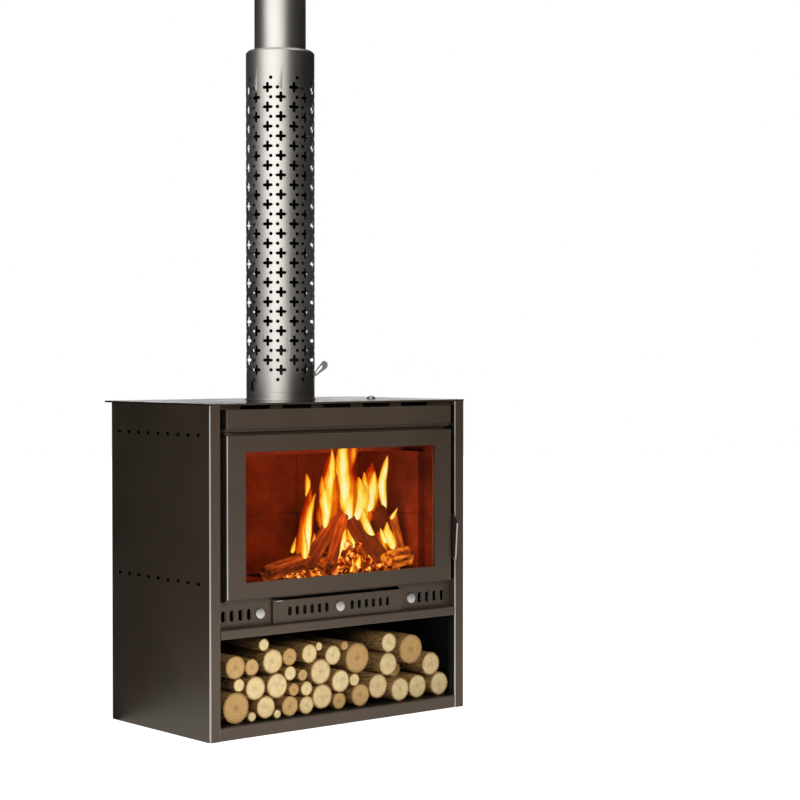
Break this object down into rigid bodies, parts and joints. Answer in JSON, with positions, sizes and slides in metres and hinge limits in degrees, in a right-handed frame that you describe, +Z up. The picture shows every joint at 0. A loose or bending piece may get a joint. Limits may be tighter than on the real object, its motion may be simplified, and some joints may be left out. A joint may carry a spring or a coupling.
{
  "type": "wood stove",
  "caption": "Free-standing wood stove in folded sheet steel: wide glazed door, log store below, ash drawer, sliding air controls and a shielded flue with a damper.",
  "frame": {"origin": "on the floor under the middle of the cabinet's width and depth", "axes": "+X to the right as seen from the front, +Y to the back, +Z up"},
  "size_m": [0.926, 0.559, 2.125],
  "materials": {
    "cabinet_paint": "satin",
    "front_paint": "satin",
    "bare_steel": "matte",
    "firebox_steel": "matte",
    "firebrick": "matte",
    "grate_iron": "matte",
    "hardware": "satin",
    "flue_steel": "satin",
    "window_glass": "gloss",
    "rope_seal": "matte",
    "handle_metal": "satin",
    "knob_metal": "satin"
  },
  "bodies": {
    "cabinet": {"left_side_panel": "cabinet_paint", "right_side_panel": "cabinet_paint", "base_plate": "cabinet_paint", "base_rail": "cabinet_paint", "log_shelf": "cabinet_paint", "rear_panel": "cabinet_paint", "rear_heat_shield": "bare_steel", "top_plate": "cabinet_paint", "front_frame": "cabinet_paint", "upper_fascia": "front_paint", "firebox_floor": "firebox_steel", "firebox_left_wall": "firebox_steel", "firebox_right_wall": "firebox_steel", "firebox_rear_wall": "firebox_steel", "firebox_roof": "firebox_steel", "left_firebricks": "firebrick", "right_firebricks": "firebrick", "rear_firebricks": "firebrick", "floor_firebricks": "firebrick", "baffle_plate": "firebrick", "fire_grate": "grate_iron", "hinge_brackets": "hardware", "latch_keeper": "hardware", "air_slide_guides": "bare_steel", "drawer_runners": "bare_steel", "flue_pipe": "flue_steel", "flue_shield": "flue_steel", "shield_end_rings": "flue_steel"},
    "door": {"door_frame": "front_paint", "door_glass": "window_glass", "glass_gasket": "rope_seal", "glass_retainer": "bare_steel", "seal_carrier": "bare_steel", "door_seal": "rope_seal", "hinge_pivots": "hardware", "handle_bolt": "hardware"},
    "handle": {"handle_lever": "handle_metal"},
    "left_air": {"left_air_slide": "bare_steel", "left_air_knob": "knob_metal"},
    "right_air": {"right_air_slide": "bare_steel", "right_air_knob": "knob_metal"},
    "ash_drawer": {"ash_drawer_front": "front_paint", "ash_pan": "bare_steel", "drawer_pull_tab": "front_paint", "drawer_slide_guides": "bare_steel"},
    "drawer_air": {"drawer_air_slide": "bare_steel", "drawer_air_knob": "knob_metal"},
    "damper": {"damper_disc": "hardware", "damper_spindle": "hardware", "damper_handle": "hardware"}
  },
  "joints": [
    {"name": "door_hinge", "type": "hinge", "parent": "cabinet", "child": "door", "pos_m": [-0.4, -0.24, 0.6], "axis": [0, 0, -1], "range_deg": [0, 100]},
    {"name": "handle_turn", "type": "hinge", "parent": "door", "child": "handle", "pos_m": [0.417, -0.241, 0.466], "axis": [1, 0, 0], "range_deg": [-8, 50]},
    {"name": "left_air_slide", "type": "slide", "parent": "cabinet", "child": "left_air", "axis": [1, 0, 0], "range_m": [0, 0.0146]},
    {"name": "right_air_slide", "type": "slide", "parent": "cabinet", "child": "right_air", "axis": [1, 0, 0], "range_m": [0, 0.0146]},
    {"name": "drawer_slide", "type": "slide", "parent": "cabinet", "child": "ash_drawer", "axis": [0, -1, 0], "range_m": [0, 0.3]},
    {"name": "drawer_air_slide", "type": "slide", "parent": "ash_drawer", "child": "drawer_air", "axis": [1, 0, 0], "range_m": [0, 0.0132]},
    {"name": "damper_turn", "type": "hinge", "parent": "cabinet", "child": "damper", "pos_m": [0, 0.051, 0.968], "axis": [1, 0, 0], "range_deg": [0, 90]}
  ]
}
